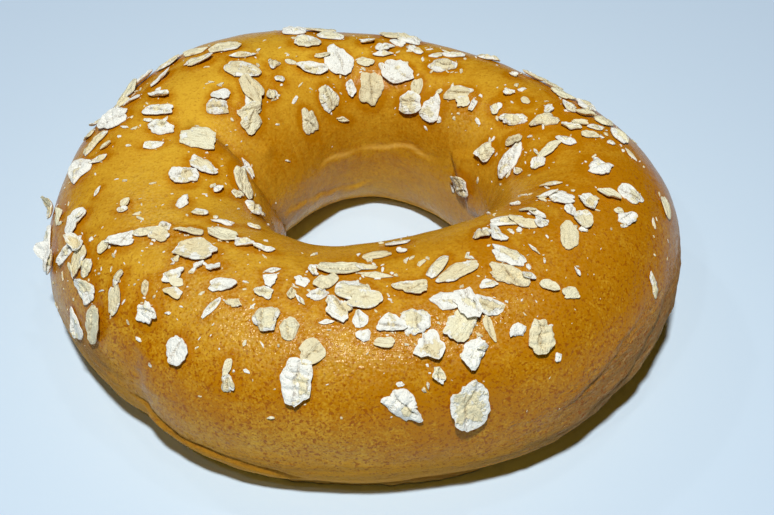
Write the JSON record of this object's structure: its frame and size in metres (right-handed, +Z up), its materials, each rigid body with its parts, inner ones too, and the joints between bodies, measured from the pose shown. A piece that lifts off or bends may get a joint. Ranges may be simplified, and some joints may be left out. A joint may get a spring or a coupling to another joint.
{
  "type": "bagel",
  "caption": "Baked bread ring with an off-centre hole, a glazed golden crust and rolled-oat flakes baked onto its crown.",
  "frame": {"origin": "on the table, under the middle of the whole bagel's box", "axes": "+Z up through the hole, +X along the bagel's longest width, +Y towards the thin back of the ring"},
  "size_m": [0.1202, 0.1036, 0.0389],
  "materials": {
    "crust": "baked golden-brown crust with a satin egg glaze, dull and paler towards the base",
    "oat": "dry matt cream flakes with fine bran lines and white floury patches"
  },
  "bodies": {
    "root": {"bread": "crust", "oat_flake_01": "oat", "oat_flake_02": "oat", "oat_flake_03": "oat", "oat_flake_04": "oat", "oat_flake_05": "oat", "oat_flake_06": "oat", "oat_flake_07": "oat", "oat_flake_08": "oat", "oat_flake_09": "oat", "oat_flake_10": "oat", "oat_flake_11": "oat", "oat_flake_12": "oat", "oat_flake_13": "oat", "oat_flake_14": "oat", "oat_flake_15": "oat", "oat_flake_16": "oat", "oat_flake_17": "oat", "oat_flake_18": "oat", "oat_flake_19": "oat", "oat_flake_20": "oat", "oat_flake_21": "oat", "oat_flake_22": "oat", "oat_flake_23": "oat", "oat_flake_24": "oat", "oat_flake_25": "oat", "oat_flake_26": "oat", "oat_flake_27": "oat", "oat_flake_28": "oat", "oat_flake_29": "oat", "oat_flake_30": "oat", "oat_flake_31": "oat", "oat_flake_32": "oat", "oat_flake_33": "oat", "oat_flake_34": "oat", "oat_flake_35": "oat", "oat_flake_36": "oat", "oat_flake_37": "oat", "oat_flake_38": "oat", "oat_flake_39": "oat", "oat_flake_40": "oat", "oat_flake_41": "oat", "oat_flake_42": "oat", "oat_flake_43": "oat", "oat_flake_44": "oat", "oat_flake_45": "oat", "oat_flake_46": "oat", "oat_flake_47": "oat", "oat_flake_48": "oat", "oat_flake_49": "oat", "oat_flake_50": "oat", "oat_flake_51": "oat", "oat_flake_52": "oat", "oat_flake_53": "oat", "oat_flake_54": "oat", "oat_flake_55": "oat", "oat_flake_56": "oat", "oat_flake_57": "oat", "oat_flake_58": "oat", "oat_flake_59": "oat"}
  },
  "joints": []
}
